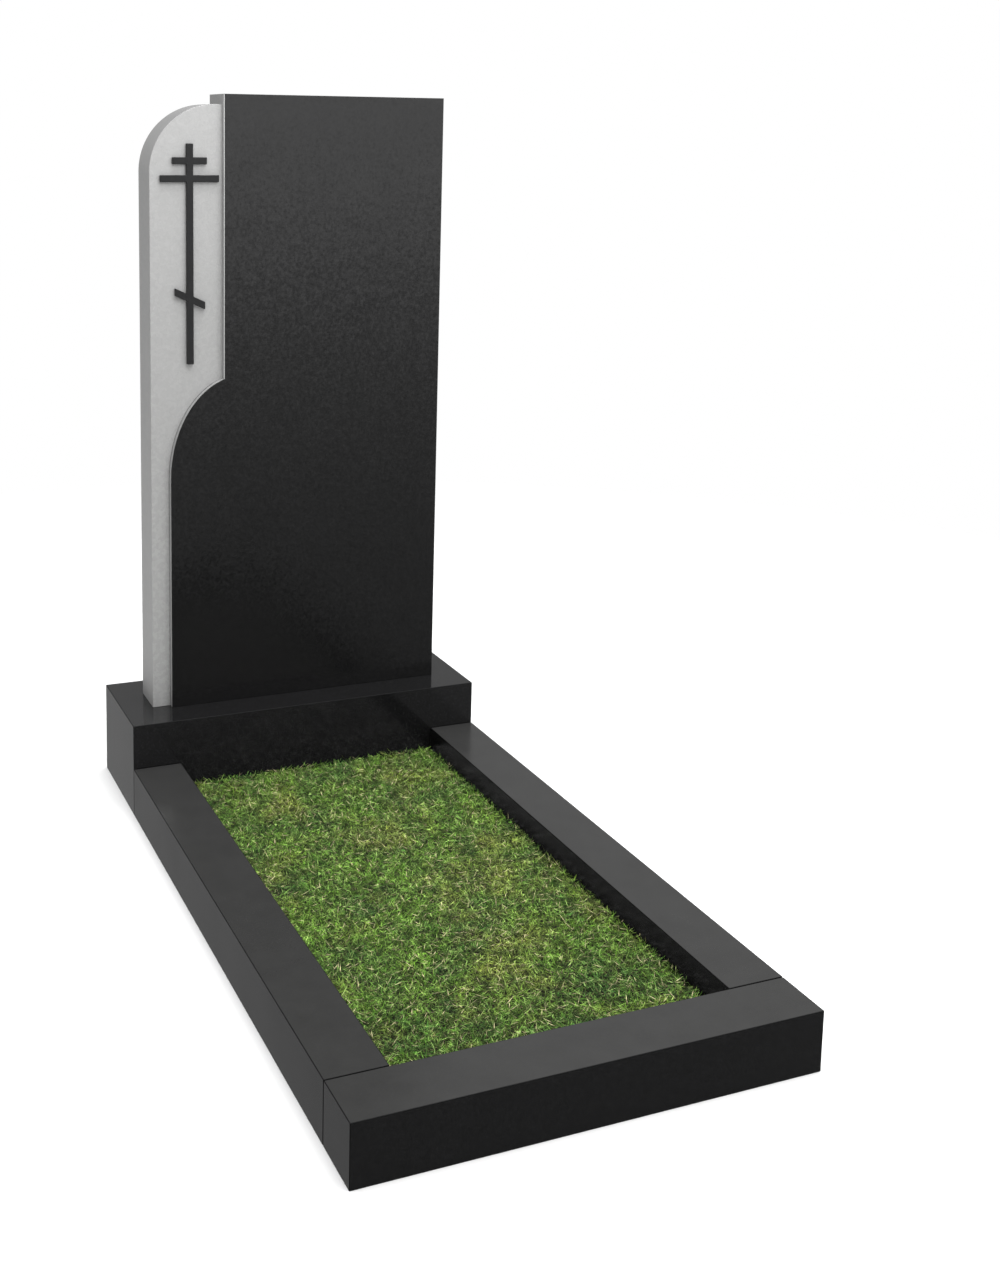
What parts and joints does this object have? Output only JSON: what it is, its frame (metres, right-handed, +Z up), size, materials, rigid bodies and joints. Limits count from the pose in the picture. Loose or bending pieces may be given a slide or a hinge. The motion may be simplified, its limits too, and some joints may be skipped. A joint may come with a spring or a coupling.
{
  "type": "upright headstone",
  "caption": "Granite gravestone: black slab with a curved shoulder, round-headed grey side slab with a slender Orthodox cross, on a plinth with a kerbed bed of turf.",
  "frame": {"origin": "on the ground, under the middle of the monument's bounding box", "axes": "+Z up, -Y towards the viewer, from the stele to the front kerb, +X to the viewer's right"},
  "size_m": [0.6, 1.15, 1.15],
  "materials": {
    "black_granite": "polished",
    "grey_granite": "satin",
    "cross_plate": "satin",
    "turf": "matte"
  },
  "bodies": {
    "root": {"plinth": "black_granite", "black_slab": "black_granite", "grey_slab": "grey_granite", "cross": "cross_plate", "kerb_left": "black_granite", "kerb_right": "black_granite", "kerb_front": "black_granite", "turf_bed": "turf"}
  },
  "joints": []
}
